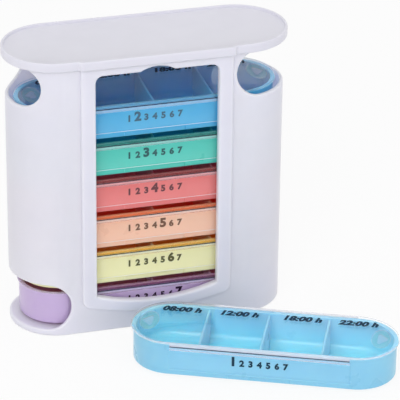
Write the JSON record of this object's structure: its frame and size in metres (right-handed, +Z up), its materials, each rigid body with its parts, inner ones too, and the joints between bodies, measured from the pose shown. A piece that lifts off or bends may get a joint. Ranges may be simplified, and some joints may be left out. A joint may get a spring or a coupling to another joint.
{
  "type": "weekly pill organizer",
  "caption": "Stacking pill organizer: lidded day trays with divided compartments, held in a windowed tower with a loading port, an exit port and a cap.",
  "frame": {"origin": "centre of the tower's base, on the surface it stands on", "axes": "+X along the tower's width, towards the loading port; -Y out of the window; +Z up"},
  "size_m": [0.1748, 0.1406, 0.15],
  "materials": {
    "white_plastic": "semi-gloss moulded white polypropylene, slightly cool",
    "clear_plastic": "clear polystyrene, polished",
    "monday_plastic": "slightly translucent coloured plastic, satin",
    "tuesday_plastic": "slightly translucent coloured plastic, satin",
    "wednesday_plastic": "slightly translucent coloured plastic, satin",
    "thursday_plastic": "slightly translucent coloured plastic, satin",
    "friday_plastic": "slightly translucent coloured plastic, satin",
    "saturday_plastic": "slightly translucent coloured plastic, satin",
    "sunday_plastic": "slightly translucent coloured plastic, satin"
  },
  "bodies": {
    "tower": {"housing": "white_plastic", "top_cap": "white_plastic"},
    "monday_tray": {"monday_tray": "monday_plastic"},
    "monday_lid": {"monday_lid": "clear_plastic"},
    "tuesday_tray": {"tuesday_tray": "tuesday_plastic"},
    "tuesday_lid": {"tuesday_lid": "clear_plastic"},
    "wednesday_tray": {"wednesday_tray": "wednesday_plastic"},
    "wednesday_lid": {"wednesday_lid": "clear_plastic"},
    "thursday_tray": {"thursday_tray": "thursday_plastic"},
    "thursday_lid": {"thursday_lid": "clear_plastic"},
    "friday_tray": {"friday_tray": "friday_plastic"},
    "friday_lid": {"friday_lid": "clear_plastic"},
    "saturday_tray": {"saturday_tray": "saturday_plastic"},
    "saturday_lid": {"saturday_lid": "clear_plastic"},
    "sunday_tray": {"sunday_tray": "sunday_plastic"},
    "sunday_lid": {"sunday_lid": "clear_plastic"}
  },
  "joints": [
    {"name": "monday_tray_lift", "type": "slide", "parent": "tower", "child": "monday_tray", "axis": [0, 0, 1], "range_m": [0, 0.1]},
    {"name": "monday_lid_slide", "type": "slide", "parent": "monday_tray", "child": "monday_lid", "axis": [0.9121, -0.4099, 0], "range_m": [-0.026, 0.064]},
    {"name": "stack_lift", "type": "slide", "parent": "tower", "child": "tuesday_tray", "axis": [0, 0, 1], "range_m": [0, 0.0195]},
    {"name": "tuesday_lid_slide", "type": "slide", "parent": "tuesday_tray", "child": "tuesday_lid", "axis": [1, 0, 0], "range_m": [-0.0016, 0.0016]},
    {"name": "wednesday_lift", "type": "slide", "parent": "tower", "child": "wednesday_tray", "axis": [0, 0, 1], "range_m": [0, 0.0195]},
    {"name": "wednesday_lid_slide", "type": "slide", "parent": "wednesday_tray", "child": "wednesday_lid", "axis": [1, 0, 0], "range_m": [-0.0016, 0.0016]},
    {"name": "thursday_lift", "type": "slide", "parent": "tower", "child": "thursday_tray", "axis": [0, 0, 1], "range_m": [0, 0.0195]},
    {"name": "thursday_lid_slide", "type": "slide", "parent": "thursday_tray", "child": "thursday_lid", "axis": [1, 0, 0], "range_m": [-0.0016, 0.0016]},
    {"name": "friday_lift", "type": "slide", "parent": "tower", "child": "friday_tray", "axis": [0, 0, 1], "range_m": [0, 0.0195]},
    {"name": "friday_lid_slide", "type": "slide", "parent": "friday_tray", "child": "friday_lid", "axis": [1, 0, 0], "range_m": [-0.0016, 0.0016]},
    {"name": "saturday_lift", "type": "slide", "parent": "tower", "child": "saturday_tray", "axis": [0, 0, 1], "range_m": [0, 0.0195]},
    {"name": "saturday_lid_slide", "type": "slide", "parent": "saturday_tray", "child": "saturday_lid", "axis": [1, 0, 0], "range_m": [-0.0016, 0.0016]},
    {"name": "sunday_tray_slide", "type": "slide", "parent": "tower", "child": "sunday_tray", "axis": [-1, 0, 0], "range_m": [0, 0.128]},
    {"name": "sunday_lid_slide", "type": "slide", "parent": "sunday_tray", "child": "sunday_lid", "axis": [-1, 0, 0], "range_m": [0, 0.064]}
  ],
  "couplings": [
    {"joint": "wednesday_lift", "follows": "stack_lift", "ratio": 1},
    {"joint": "thursday_lift", "follows": "stack_lift", "ratio": 1},
    {"joint": "friday_lift", "follows": "stack_lift", "ratio": 1},
    {"joint": "saturday_lift", "follows": "stack_lift", "ratio": 1}
  ]
}
